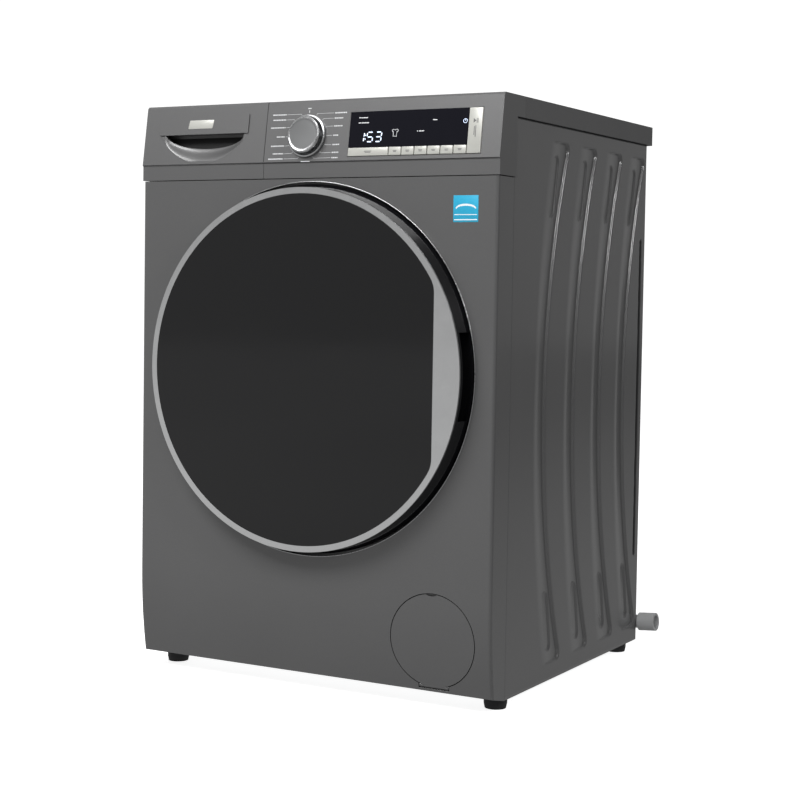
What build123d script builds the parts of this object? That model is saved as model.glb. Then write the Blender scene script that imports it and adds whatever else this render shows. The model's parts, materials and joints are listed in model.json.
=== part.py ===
"""Front-loading washer-dryer: one free-standing cabinet with a drum that washes and dries.

Millimetres. X to the right seen from the front, Y to the back, Z up.
The origin is on the floor, in the middle of the footprint.
"""

import os
from math import asin, cos, radians, sin, sqrt, tan

from build123d import *

os.makedirs("parts", exist_ok=True)

# Outer sizes
WIDTH = 597.0
HEIGHT = 845.0
HALF = WIDTH / 2
SHEET = 1.2
SIDE_X = 296.2
SIDE_FRONT = -218.5
SIDE_REAR = 267.4
SIDE_BOTTOM = 15.4
TRAY_X = 297.0
TRAY_SHEET = 1.5
FRONT = -266.0
TRAY_BOTTOM = 24.0
TRAY_TOP = 733.0
FACE_STRAIGHT_FROM = 150.0
FACE_CURVE = 750.0
FASCIA_BOTTOM = 734.2
FASCIA_REAR = -214.3
FASCIA_KINK = 757.0
LID_BOTTOM = 815.9
LID_FRONT = -190.0
LID_REAR = 287.6
DEEPEST = 293.0

# Control fascia: its face leans back, and this point is on it at knob height
LEAN = 0.1420
DIAL_Z = 793.5
TOP_FRONT = -254.9
DIAL_Y = TOP_FRONT - (HEIGHT - DIAL_Z) * LEAN
DIAL_X = -9.0
DRAWER_SPLIT = -81.0

# Door and port
DOOR_Z = 462.5
DOOR_FACE = -293.0
RING_OUT = 257.3
WINDOW_R = 248.5
CHORD_X = 216.3
RECESS_R = 266.0
RECESS_FLOOR = -250.0
PORT_R = 190.0
HINGE_X = -255.0
HINGE_Y = -277.0

# Tub, drum and drive
TUB_R = 266.0
TUB_WALL = 4.0
DRUM_R = 246.0
DRUM_SHEET = 1.5
SHAFT_R = 12.5
PULLEY_R = 145.0
MOTOR_R = 60.0
MOTOR_PULLEY_R = 11.0
MOTOR_REACH = 345.0
MOTOR_ANGLE = -60.0
MOTOR_X = MOTOR_REACH * cos(radians(MOTOR_ANGLE))
MOTOR_Z = DOOR_Z + MOTOR_REACH * sin(radians(MOTOR_ANGLE))
FAN_X, FAN_Y, FAN_Z = 190.0, 60.0, 745.0

# Lower front: pump filter behind its round flap
FLAP_X, FLAP_Z, FLAP_R = 206.5, 96.0, 65.3
FLAP_PIVOT_Y, FLAP_PIVOT_Z = -253.3, 31.5
FLAP_HEEL_R = 4.5

# Water inlets at the back
INLET_R = 13.2

# Feet
FOOT_X = 274.0
FOOT_YS = (-200.0, 235.0)
FOOT_R = 16.5

# Drain hose, along the back
HOSE_R = 11.0
HOSE_Y = 279.0
HOSE_START_X, HOSE_START_Z = -215.0, 105.0
HOSE_ROUTE = [
    (-215, 279, 128),
    (-215, 279, 262),
    (-224, 279, 412),
    (-184, 279, 560),
    (-72, 279, 652),
    (66, 279, 634),
    (142, 279, 520),
    (150, 279, 385),
    (136, 279, 250),
    (140, 279, 127),
    (172, 279, 75),
    (218, 279, 47),
    (264, 279, 40),
    (297.6, 279, 42.6),
]

RUN_GAP = 0.05


def box(x0, x1, y0, y1, z0, z1):
    """A block given by its faces."""
    return Pos((x0 + x1) / 2, (y0 + y1) / 2, (z0 + z1) / 2) * Box(x1 - x0, y1 - y0, z1 - z0)


def rod_x(y, z, r, x0, x1):
    return Pos((x0 + x1) / 2, y, z) * Rot(0, 90, 0) * Cylinder(r, x1 - x0)


def rod_y(x, z, r, y0, y1):
    return Pos(x, (y0 + y1) / 2, z) * Rot(90, 0, 0) * Cylinder(r, y1 - y0)


def rod_z(x, y, r, z0, z1):
    return Pos(x, y, (z0 + z1) / 2) * Cylinder(r, z1 - z0)


def turned(profile, x=0.0, z=DOOR_Z):
    """A body turned about a line along Y; the profile is (radius, y) points."""
    face = make_face(Polyline(*profile, close=True))
    return Pos(x, 0, z) * revolve(face, Axis.Y, 360)


def along_x(profile, x0, x1):
    """A profile of (y, z) points drawn out along X."""
    face = make_face(Polyline(*[(0, y, z) for y, z in profile], close=True))
    return Pos(x0, 0, 0) * extrude(face, x1 - x0, dir=(1, 0, 0))


def sector(r0, r1, a0, a1, y0, y1):
    """Part of a ring about the drum's line, from angle a0 to a1 degrees, 0 pointing to +X."""
    ring = turned([(r0, y0), (r1, y0), (r1, y1), (r0, y1)])
    reach = r1 * 3
    steps = 4
    angles = [radians(a0 + (a1 - a0) * i / steps) for i in range(steps + 1)]
    points = [(reach * cos(a), y0 - 1, DOOR_Z + reach * sin(a)) for a in angles]
    wedge = make_face(Polyline((0, y0 - 1, DOOR_Z), *points, close=True))
    return ring & extrude(wedge, y1 - y0 + 2, dir=(0, 1, 0))


def on_face():
    """Plane on the leaning fascia face: x right, y up the face, z out of it."""
    slant = sqrt(1 + LEAN * LEAN)
    return Plane(origin=(0, DIAL_Y, DIAL_Z), x_dir=(1, 0, 0), z_dir=(0, -1 / slant, LEAN / slant))


def face_box(x0, x1, v0, v1, w0, w1):
    """A block in the frame of the fascia face."""
    middle = Pos((x0 + x1) / 2, (v0 + v1) / 2, (w0 + w1) / 2)
    return on_face() * middle * Box(x1 - x0, v1 - v0, w1 - w0)


def face_drop(z):
    """How far the front face lies behind its straight part at height z."""
    below = max(0.0, FACE_STRAIGHT_FROM - z)
    return FACE_CURVE - sqrt(FACE_CURVE * FACE_CURVE - below * below)


def front_block(inset, x_half, rear):
    """The solid outline of the front tray, set in by the given amount on every outer face."""
    bottom = TRAY_BOTTOM + inset
    start = (0, FRONT + inset, FACE_STRAIGHT_FROM)
    mid_z = (FACE_STRAIGHT_FROM + bottom) / 2
    middle = (0, FRONT + inset + face_drop(mid_z), mid_z)
    end = (0, FRONT + inset + face_drop(bottom), bottom)
    edges = [
        Line((0, rear, TRAY_TOP - inset), (0, FRONT + inset, TRAY_TOP - inset)),
        Line((0, FRONT + inset, TRAY_TOP - inset), start),
        ThreePointArc(start, middle, end),
        Line(end, (0, rear, SIDE_BOTTOM + 0.2 + inset)),
        Line((0, rear, SIDE_BOTTOM + 0.2 + inset), (0, rear, TRAY_TOP - inset)),
    ]
    face = make_face(Curve() + edges)
    return Pos(-x_half, 0, 0) * extrude(face, 2 * x_half, dir=(1, 0, 0))


def write(name, shape):
    solids = shape.solids()
    part = solids[0] if len(solids) == 1 else Compound(children=list(solids))
    export_step(part, "parts/" + name + ".step")


# ---------------------------------------------------------------- cabinet shell


def side_panel(side):
    panel = box(SIDE_X - SHEET, SIDE_X, SIDE_FRONT, SIDE_REAR, SIDE_BOTTOM, 815.4)
    panel -= box(290, 300, SIDE_FRONT - 1, FASCIA_REAR + 0.3, TRAY_TOP + 0.5, 820)
    panel += box(281, SIDE_X - 0.5, SIDE_FRONT, SIDE_FRONT + SHEET, 30, TRAY_TOP)
    panel += box(277, SIDE_X - 0.5, SIDE_REAR - SHEET, SIDE_REAR, SIDE_BOTTOM, 815.4)
    panel += box(283, SIDE_X - 0.5, -210, SIDE_REAR - 0.5, SIDE_BOTTOM, SIDE_BOTTOM + SHEET)
    panel += box(262, SIDE_X - 0.5, -185, SIDE_REAR - 0.5, 815.4 - SHEET, 815.4)
    return panel if side > 0 else mirror(panel, Plane.YZ)


def front_panel():
    rear = SIDE_FRONT - 0.4
    tray = front_block(0, TRAY_X, rear)
    upright = [e for e in tray.edges() if abs(e.center().X) > TRAY_X - 0.1]
    corners = [e for e in upright if e.center().Y < FRONT + 12 and e.length > 100]
    tray = fillet(corners, 5)
    tray -= front_block(TRAY_SHEET, TRAY_X - TRAY_SHEET, rear) & box(-300, 300, FRONT, rear, 0, 800)
    tray -= rod_y(0, DOOR_Z, RECESS_R + 0.5, FRONT - 5, FRONT + 5)
    dish = turned(
        [
            (RECESS_R, FRONT),
            (RECESS_R + TRAY_SHEET, FRONT),
            (RECESS_R + TRAY_SHEET, RECESS_FLOOR + TRAY_SHEET),
            (PORT_R + TRAY_SHEET, RECESS_FLOOR + TRAY_SHEET),
            (PORT_R + TRAY_SHEET, RECESS_FLOOR + 14),
            (PORT_R, RECESS_FLOOR + 14),
            (PORT_R, RECESS_FLOOR),
            (RECESS_R, RECESS_FLOOR),
        ]
    )
    tray += dish
    for low, high in HINGE_ARMS:
        tray -= box(-261.5, -248.5, -252, -247, DOOR_Z + low - 0.5, DOOR_Z + high + 0.5)
    tray -= box(214, 242, -252, -247, DOOR_Z - 12, DOOR_Z + 12)
    tray -= rod_y(FLAP_X, FLAP_Z, FLAP_R + 1.3, -275, -245)
    return tray - rod_x(FLAP_PIVOT_Y, FLAP_PIVOT_Z, FLAP_HEEL_R, FLAP_X - 24, FLAP_X + 24)


def filter_recess():
    """Plastic surround behind the flap opening, which carries the flap's hinge ears."""
    frame = box(FLAP_X - 76, FLAP_X + 76, -249, -246, 26, 172)
    frame += box(FLAP_X - 76, FLAP_X - 73, -253, -249, 26, 172)
    frame += box(FLAP_X + 73, FLAP_X + 76, -253, -249, 26, 172)
    frame -= rod_y(FLAP_X, 103, 46, -260, -240)
    for side in (-1, 1):
        ear_x = FLAP_X + side * 14.5
        frame += rod_x(FLAP_PIVOT_Y, FLAP_PIVOT_Z, 2.4, ear_x - 1.5, ear_x + 1.5)
        frame += box(ear_x - 1.5, ear_x + 1.5, FLAP_PIVOT_Y, -248.5, FLAP_PIVOT_Z, FLAP_PIVOT_Z + 2.4)
    frame -= rod_x(FLAP_PIVOT_Y, FLAP_PIVOT_Z, 1.0 + RUN_GAP, FLAP_X - 17, FLAP_X + 17)
    return frame


def rear_panel():
    panel = box(-294.8, 294.8, 264.9, 266.1, 17, 814)
    panel -= box(-125, 125, 260, 270, 300, 522)
    for x in (-245, -195):
        panel -= rod_y(x, 770, INLET_R + 1.6, 260, 270)
    for x in (-TRANSIT_X, TRANSIT_X):
        for z in TRANSIT_ZS:
            panel -= rod_y(x, z, TRANSIT_R, 260, 270)
    panel -= rod_y(HOSE_START_X, HOSE_START_Z, HOSE_R + 0.5, 260, 270)
    panel -= rod_y(240, 700, 9.5, 260, 270)
    return panel


def service_cover():
    cover = box(-133, 133, 266.1, 267.3, 292, 530)
    dome = box(-118, 118, 267.2, 269.6, 307, 515)
    dome = fillet(dome.edges().filter_by(Axis.Y), 30)
    dome -= box(-115, 115, 265, 268.4, 310, 512)
    return cover - box(-112, 112, 265, 268, 313, 509) + dome


def base_pan():
    pan = box(-294, 294, -214, 262, 17, 55) - box(-292, 292, -212, 260, 19, 56)
    for x in (-FOOT_X, FOOT_X):
        for y in FOOT_YS:
            pan += rod_z(x, y, 13, 17.5, 45)
            pan -= rod_z(x, y, 5 + RUN_GAP, 10, 50)
    return pan


def worktop():
    lid = box(-HALF, HALF, LID_FRONT, LID_REAR, LID_BOTTOM, HEIGHT)
    lid = fillet(lid.edges().filter_by(Axis.Z).sort_by(Axis.Y)[2:], 5)
    lid -= box(-HALF + 3, HALF - 3, LID_FRONT + 3, LID_REAR - 3, LID_BOTTOM - 1, HEIGHT - 4)
    for x in (-150, 0, 150):
        lid += box(x - 2, x + 2, LID_FRONT + 2, LID_REAR - 2, LID_BOTTOM + 6, HEIGHT - 3)
    return lid


# ---------------------------------------------------------------- control fascia

FASCIA_FRONT = TOP_FRONT - (HEIGHT - FASCIA_KINK) * LEAN


def fascia_profile():
    return [
        (FASCIA_FRONT + 1.6, FASCIA_BOTTOM),
        (FASCIA_FRONT + 1.6, FASCIA_KINK - 1.5),
        (FASCIA_FRONT, FASCIA_KINK),
        (TOP_FRONT - 0.4, HEIGHT - 3),
        (TOP_FRONT + 2.4, HEIGHT),
        (LID_FRONT - 0.3, HEIGHT),
        (LID_FRONT - 0.3, LID_BOTTOM),
        (FASCIA_REAR, LID_BOTTOM),
        (FASCIA_REAR, FASCIA_BOTTOM),
    ]


def control_fascia():
    left = DRAWER_SPLIT + 0.6
    shell = along_x(fascia_profile(), left, HALF)
    hollow = [
        (FASCIA_FRONT + 4.4, FASCIA_BOTTOM + 2.5),
        (FASCIA_FRONT + 3.2, FASCIA_KINK),
        (TOP_FRONT + 2.6, HEIGHT - 3),
        (LID_FRONT - 2.8, HEIGHT - 2.5),
        (LID_FRONT - 2.8, LID_BOTTOM + 2.5),
        (FASCIA_REAR - 2, LID_BOTTOM + 2.5),
        (FASCIA_REAR + 1, LID_BOTTOM - 2.5),
        (FASCIA_REAR + 1, FASCIA_BOTTOM + 2.5),
    ]
    shell -= along_x(hollow, left + 2.5, HALF - 2.5)
    frame = box(-HALF, left + 1, -233.5, FASCIA_REAR, FASCIA_BOTTOM, HEIGHT)
    frame += box(-HALF, left + 1, FASCIA_REAR - 1, LID_FRONT - 0.3, LID_BOTTOM, HEIGHT)
    frame -= box(-284, -94, -240, -200, 752, 812)
    shell += frame
    shell -= face_box(60.4, 269.4, -31.4, 32.2, -8, 8)
    shell -= on_face() * Pos(DIAL_X, 0, 0) * Cylinder(4 + RUN_GAP, 30)
    return shell


def display_window():
    return face_box(61.0, 247.3, -18.4, 31.8, -2.4, 0.3)


KEYS = {"button_delay": (61.0, 126.2, -31.0, -19.0), "button_start": (248.1, 269.0, -31.0, 31.8)}
OPTION_PITCH = 20.2
for number in range(6):
    option_x = 127.0 + number * OPTION_PITCH
    KEYS["button_option_" + str(number + 1)] = (option_x, option_x + OPTION_PITCH - 0.8, -31.0, -19.0)


def key(x0, x1, v0, v1):
    cap = face_box(x0, x1, v0, v1, -2.6, 1.4)
    stem = face_box((x0 + x1) / 2 - 2, (x0 + x1) / 2 + 2, v0 + 4, v0 + 8, -8, -2)
    return cap + stem


def program_knob():
    place = on_face() * Pos(DIAL_X, 0, 0)
    body = Pos(0, 0, 2.3) * Cylinder(30.4, 3.0)
    body += Pos(0, 0, 6.6) * Cone(29.0, 27.4, 6.0)
    body += Pos(0, 0, 11.8) * Cone(27.4, 25.2, 4.6)
    body += Pos(0, 0, -7) * Cylinder(4, 17)
    return place * body


# ---------------------------------------------------------------- detergent drawer


def drawer_front():
    x0, x1 = -HALF, DRAWER_SPLIT
    lid_profile = fascia_profile()[:5] + [(-236, HEIGHT), (-236, FASCIA_BOTTOM)]
    front = along_x(lid_profile, x0, x1)
    scoop_x = (x0 + x1) / 2 - 1
    bowl = [(-275, 758.0), (-275, 801.0), (-242, 801.0), (-242, 788.0), (-256, 766.0)]
    scoop = along_x(bowl, x0 + 10, x1 - 10) & rod_y(scoop_x, 851.4, 93.7, -280, -230)
    front -= scoop
    plate = face_box(scoop_x - 79.5, scoop_x + 79.5, 7.5, 35.0, -2, 1.6)
    return front + plate


def drawer_tray():
    tray = box(-276, -102, -235.8, -10, 760, 806) - box(-274, -104, -233.8, -12, 762, 807)
    for x in (-216, -160):
        tray += box(x - 1, x + 1, -234.5, -11, 761, 800)
    return tray


def dispenser_housing():
    outer = box(-287, -91, -213.5, 16, 750, 814)
    return outer - box(-283, -95, -220, 12, 753, 811.5)


# ---------------------------------------------------------------- door

HINGE_ARMS = ((-34.0, -26.0), (26.0, 34.0))


def hinge_pocket():
    return box(-292, -245, -284.5, -246, DOOR_Z - 36, DOOR_Z + 36)


def door_frame():
    shell = turned(
        [
            (256.6, -289.5),
            (263, -262),
            (263, -258),
            (205, -258),
            (205, -261),
            (259.8, -261),
            (253.8, -287),
            (236, -287),
            (236, -289.5),
        ]
    )
    shell -= hinge_pocket()
    shell -= box(240, 275, -284.5, -262.5, DOOR_Z - 60, DOOR_Z + 60)
    shell += box(HINGE_X, -236, -282, -272, DOOR_Z - 24, DOOR_Z + 24)
    shell += box(-241, -230, -288, -260, DOOR_Z - 24, DOOR_Z + 24)
    shell += rod_z(HINGE_X, HINGE_Y, 6, DOOR_Z - 24, DOOR_Z + 24)
    shell -= rod_z(HINGE_X, HINGE_Y, 3.5 + RUN_GAP, DOOR_Z - 30, DOOR_Z + 30)
    return shell


def door_glass_outline(grow):
    """The window: a disc cut off by a straight line on the grip side, with rounded corners."""
    radius = WINDOW_R + grow
    disc = Circle(radius) & Pos(CHORD_X + grow - radius, 0) * Rectangle(2 * radius, 3 * radius)
    corners = [v for v in disc.vertices() if v.X > CHORD_X - 10]
    return fillet(corners, 38)


def door_slab(sketch, y0, y1):
    return Pos(0, y0, DOOR_Z) * Rot(-90, 0, 0) * extrude(mirror(sketch, Plane.XZ), y1 - y0)


def door_trim_ring():
    disc = rod_y(0, DOOR_Z, RING_OUT, DOOR_FACE, -289.7)
    return disc - door_slab(door_glass_outline(0.15), DOOR_FACE - 1, -289)


def door_window():
    return door_slab(door_glass_outline(-0.15), DOOR_FACE + 0.5, -289.8)


def door_inner_ring():
    ring = turned([(172.2, -257.7), (262, -257.7), (262, -253), (172.2, -253)])
    ring -= hinge_pocket()
    ring -= box(222, 234, -259, -252, DOOR_Z - 8, DOOR_Z + 8)
    ring -= rod_z(228, -255.4, 1.5 + RUN_GAP, DOOR_Z - 15, DOOR_Z + 15)
    return ring


def door_bowl():
    return turned(
        [
            (172, -257.7),
            (172, -253.7),
            (159, -253.7),
            (146, -196),
            (118, -182),
            (60, -177),
            (0.0, -176),
            (0.0, -181),
            (58, -182),
            (115, -187),
            (141, -199),
            (153, -257.7),
        ]
    )


def door_hook():
    hook = box(225, 231, -257, -240, DOOR_Z - 6, DOOR_Z + 6)
    hook += box(230, 236, -242, -238, DOOR_Z - 6, DOOR_Z + 6)
    hook += box(225, 231, -241, -238, DOOR_Z - 6, DOOR_Z + 6)
    return hook + rod_z(228, -255.4, 1.5, DOOR_Z - 14, DOOR_Z + 14)


def hinge_bracket():
    bracket = box(-262, -236, -248.4, -245, DOOR_Z - 45, DOOR_Z + 45)
    for low, high in HINGE_ARMS:
        bracket += box(-260, -250, HINGE_Y, -246, DOOR_Z + low, DOOR_Z + high)
        bracket += rod_z(HINGE_X, HINGE_Y, 6.5, DOOR_Z + low, DOOR_Z + high)
    return bracket + rod_z(HINGE_X, HINGE_Y, 3.5, DOOR_Z - 34, DOOR_Z + 34)


def door_lock():
    lock = box(206, 250, -248.4, -206, DOOR_Z - 40, DOOR_Z + 44)
    return lock - box(212, 244, -250, -225, DOOR_Z - 14, DOOR_Z + 14)


def door_gasket():
    return turned(
        [
            (189.8, -249.5),
            (189.8, -235),
            (184, -228),
            (184, -214),
            (180, -196.2),
            (174, -196.2),
            (178, -214),
            (178, -226),
            (182, -238),
            (164, -241),
            (164, -245),
            (184, -246),
        ]
    )


# ---------------------------------------------------------------- tub


def ears(z0, z1, x0, x1, y):
    """A pair of lugs on the tub's flanks."""
    lugs = box(x0, x1, y - 12, y + 12, z0, z1)
    return lugs + mirror(lugs, Plane.YZ)


SPRING_X, SPRING_Y = 264.0, 45.0
DAMPER_X, DAMPER_Y = 246.0, 20.0


def tub_front():
    rim = TUB_R - TUB_WALL
    shell = turned(
        [
            (172, -196),
            (TUB_R, -196),
            (TUB_R, -60.3),
            (rim, -60.3),
            (rim, -191),
            (176, -191),
            (176, -184),
            (172, -184),
        ]
    )
    return shell


def tub_rear():
    rim = TUB_R - TUB_WALL
    shell = turned(
        [
            (rim, -60),
            (TUB_R, -60),
            (TUB_R, 181),
            (48, 181),
            (48, 214),
            (26, 214),
            (26, 183),
            (SHAFT_R + 1, 183),
            (SHAFT_R + 1, 171),
            (60, 171),
            (60, 175),
            (rim, 175),
        ]
    )
    shell += ears(628, 640, 190, 280, SPRING_Y) - rod_y(0, DOOR_Z, rim + 1, -70, 170)
    shell += ears(290, 302, 188, 262, DAMPER_Y) - rod_y(0, DOOR_Z, rim + 1, -70, 170)
    for x in HEATER_XS:
        shell -= rod_y(x, HEATER_Z, 4, 160, 190)
    return shell


HEATER_XS = (-32.0, 32.0)
HEATER_Z = DOOR_Z - 252.0


def wash_heater():
    element = box(-46, 46, 181, 186, HEATER_Z - 12, HEATER_Z + 12)
    for x in HEATER_XS:
        element += rod_y(x, HEATER_Z, 4, -38, 196)
    return element + rod_x(-38, HEATER_Z, 4, HEATER_XS[0], HEATER_XS[1])


def counterweights():
    upper = sector(TUB_R + 0.5, 316, 66, 101, -170, -30)
    lower = sector(194, 260, 205, 335, -226, -196.5)
    return upper + lower


def drum_bearings():
    ring = [(SHAFT_R + RUN_GAP, 184), (25.9, 184), (25.9, 197), (SHAFT_R + RUN_GAP, 197)]
    rear = [(r, y + 15) for r, y in ring]
    return turned(ring) + turned(rear)


def drive_motor():
    body = rod_y(MOTOR_X, MOTOR_Z, MOTOR_R, 62, 196)
    body += box(MOTOR_X - 18, MOTOR_X + 18, 90, 170, MOTOR_Z + 50, MOTOR_Z + 72)
    return body - rod_y(MOTOR_X, MOTOR_Z, 7 + RUN_GAP, 180, 200)


def motor_pulley():
    pulley = rod_y(MOTOR_X, MOTOR_Z, MOTOR_PULLEY_R, 220, 242)
    return pulley + rod_y(MOTOR_X, MOTOR_Z, 7, 181, 220)


def drive_belt():
    """Flat ribbed belt round both pulleys, on the outer tangents."""
    gap, thick = 0.4, 3.0
    tilt = asin((PULLEY_R - MOTOR_PULLEY_R) / MOTOR_REACH)
    direction = radians(MOTOR_ANGLE)

    def loop(extra):
        big, small = PULLEY_R + extra, MOTOR_PULLEY_R + extra
        face = Circle(big) + Pos(MOTOR_X, MOTOR_Z - DOOR_Z) * Circle(small)
        corners = []
        for centre, radius in (((0, 0), big), ((MOTOR_X, MOTOR_Z - DOOR_Z), small)):
            for side in (1, -1):
                angle = direction + side * (radians(90) - tilt)
                corners.append((centre[0] + radius * cos(angle), centre[1] + radius * sin(angle)))
        outline = [corners[0], corners[1], corners[3], corners[2]]
        return face + make_face(Polyline(*outline, close=True))

    band = extrude(loop(gap + thick), 16) - extrude(loop(gap), 16)
    return Pos(0, 239, DOOR_Z) * Rot(90, 0, 0) * band


def drying_duct():
    x0, x1, y0, y1, z0, z1 = 140, 240, -185, 190, 728, 800
    duct = box(x0, x1, y0, y1, z0, z1) - box(x0 + 2, x1 - 2, y0 + 2, y1 - 2, z0 + 2, z1 - 2)
    duct += box(150, 190, 150, 188, 686, z0 + 1)
    duct -= box(152, 188, 152, 186, 680, z0 + 3)
    duct -= box(160, 220, y0 - 1, y0 + 3, 745, 785)
    duct -= rod_z(FAN_X, FAN_Y, 4 + RUN_GAP, z0 - 1, z0 + 3)
    return duct


def drying_fan():
    fan = rod_z(FAN_X, FAN_Y, 44, FAN_Z, FAN_Z + 2) + rod_z(FAN_X, FAN_Y, 9, FAN_Z, FAN_Z + 22)
    for turn in range(12):
        blade = Pos(FAN_X, FAN_Y, FAN_Z + 11) * Rot(0, 0, turn * 30) * Pos(30, 0, 0) * Box(26, 1.6, 22)
        fan += blade
    return fan + rod_z(FAN_X, FAN_Y, 4, 724, FAN_Z)


def suspension_springs():
    spring = rod_z(SPRING_X, SPRING_Y, 9, 652, 806) - rod_z(SPRING_X, SPRING_Y, 6.5, 640, 812)
    spring += rod_z(SPRING_X, SPRING_Y, 6.6, 652, 656) + rod_z(SPRING_X, SPRING_Y, 6.6, 802, 806)
    spring += rod_z(SPRING_X, SPRING_Y, 2, 640.2, 653) + rod_z(SPRING_X, SPRING_Y, 2, 805, 814)
    return spring + mirror(spring, Plane.YZ)


def damper_rods():
    rod = rod_z(DAMPER_X, DAMPER_Y, 5, 110, 290)
    return rod + mirror(rod, Plane.YZ)


def damper_cylinders():
    tube = rod_z(DAMPER_X, DAMPER_Y, 13, 19, 200) - rod_z(DAMPER_X, DAMPER_Y, 5.3, 90, 201)
    return tube + mirror(tube, Plane.YZ)


# ---------------------------------------------------------------- drum


def drum_shell():
    inner = DRUM_R - DRUM_SHEET
    return turned(
        [
            (180, -182),
            (DRUM_R - 6, -182),
            (DRUM_R, -176),
            (DRUM_R, 140),
            (0.0, 140),
            (0.0, 138.5),
            (inner, 138.5),
            (inner, -175.4),
            (DRUM_R - 6.6, -180.5),
            (180, -180.5),
            (180, -172),
            (178.5, -172),
            (178.5, -182),
        ]
    )


def drum_paddles():
    paddles = Part()
    outer = DRUM_R - DRUM_SHEET - 0.1
    for angle in (90, 210, 330):
        ridge = make_face(Polyline((34, 0), (8, 52), (-8, 52), (-34, 0), close=True))
        bar = extrude(ridge, 270)
        bar = Pos(0, 130, DOOR_Z) * Rot(90, 0, 0) * Rot(0, 0, angle + 90) * Pos(0, -outer + 3, 0) * bar
        paddles += bar & rod_y(0, DOOR_Z, outer, -150, 135)
    return paddles


def drum_spider():
    hub = rod_y(0, DOOR_Z, 42, 140.1, 168) + rod_y(0, DOOR_Z, SHAFT_R, 160, 246)
    for angle in (90, 210, 330):
        arm = Pos(0, 152, DOOR_Z) * Rot(0, -angle, 0) * Pos(120, 0, 0) * Box(236, 22, 30)
        hub += arm
    return hub


def drum_pulley():
    rim = turned([(130, 222), (PULLEY_R, 222), (PULLEY_R, 240), (130, 240)])
    wheel = rim + turned([(SHAFT_R, 222), (30, 222), (30, 240), (SHAFT_R, 240)])
    for angle in range(0, 360, 60):
        wheel += Pos(0, 231, DOOR_Z) * Rot(0, angle, 0) * Pos(80, 0, 0) * Box(104, 8, 20)
    return wheel


# ---------------------------------------------------------------- pump, water, back


def drain_pump():
    pump = rod_y(FLAP_X, 103, 44, -245.8, -150) - rod_y(FLAP_X, 103, 36.5, -250, -168)
    pump += rod_y(FLAP_X, 103, 30, -150, -95)
    return pump + rod_z(FLAP_X, -190, 15, 144, 165)


def pump_filter():
    """Threaded strainer: a grip plate, a cap and a basket."""
    cap = rod_y(FLAP_X, 103, 36, -247, -238) + box(FLAP_X - 28, FLAP_X + 28, -252.5, -246, 99, 107)
    return cap + rod_y(FLAP_X, 103, 28, -239, -176) - rod_y(FLAP_X, 103, 25, -232, -170)


def sump_hose():
    corners = [(60, -110, 196), (60, -110, 172), (FLAP_X, -190, 190), (FLAP_X, -190, 165.5)]
    route = FilletPolyline(*corners, radius=9)
    path_plane = Plane(origin=route @ 0, z_dir=route % 0)
    return sweep(path_plane * Circle(8), path=route)


def filter_flap():
    skin = front_block(0, TRAY_X, -240) - front_block(2.5, TRAY_X - 1, -235)
    skin &= rod_y(FLAP_X, FLAP_Z, FLAP_R, -275, -240)
    thin = front_block(1.0, TRAY_X - 1, -235) & box(FLAP_X - 26, FLAP_X + 26, -270, -240, 20, 38)
    skin -= thin
    skin += rod_x(FLAP_PIVOT_Y, FLAP_PIVOT_Z, 1.9, FLAP_X - 12.6, FLAP_X + 12.6)
    skin += box(FLAP_X - 12.6, FLAP_X + 12.6, -255.8, FLAP_PIVOT_Y, FLAP_PIVOT_Z - 0.5, FLAP_PIVOT_Z + 1.9)
    return skin + rod_x(FLAP_PIVOT_Y, FLAP_PIVOT_Z, 1.0, FLAP_X - 16, FLAP_X + 16)




def inlet_valves():
    valves = box(-265, -175, 222, 262, 745, 797)
    for x in (-245, -195):
        valves += rod_y(x, 770, INLET_R, 261, DEEPEST)
        valves -= rod_y(x, 770, 7, 240, DEEPEST + 1)
    return valves


TRANSIT_X = 185.0
TRANSIT_ZS = (330.0, 600.0)
TRANSIT_R = 9.0


def foot(x, y):
    pad = Pos(x, y, 3.5) * Cone(15.0, FOOT_R, 7) + rod_z(x, y, FOOT_R, 7, 12.6)
    return pad + rod_z(x, y, 5, 12, 58)


# ---------------------------------------------------------------- drain hose


def hose_radii():
    radii = []
    points = [Vector(*p) for p in HOSE_ROUTE]
    for before, here, after in zip(points, points[1:], points[2:]):
        turn = (here - before).get_angle(after - here)
        shorter = min((here - before).length, (after - here).length)
        radii.append(0.45 * shorter / tan(radians(turn / 2)))
    return radii


def drain_hose():
    radii = hose_radii()
    path = FilletPolyline(*HOSE_ROUTE, radius=radii)
    plane = Plane(origin=path @ 0, z_dir=path % 0)
    tube = sweep(plane * Circle(HOSE_R), path=path)
    print("hose radii", [round(r) for r in radii])
    section = 3.14159265 * HOSE_R * HOSE_R
    print("hose length", round(path.length), "volume ratio", tube.volume / (section * path.length))
    return tube


def hose_cuff():
    """The open rubber end that pushes over a stand-pipe."""
    end, before = Vector(*HOSE_ROUTE[-1]), Vector(*HOSE_ROUTE[-2])
    plane = Plane(origin=end, z_dir=end - before)
    cuff = Pos(0, 0, 14.1) * Cylinder(14.5, 28) - Pos(0, 0, 18) * Cylinder(10.5, 28)
    return plane * cuff


CLIP_RUNS = (1, 4, 7)


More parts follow.
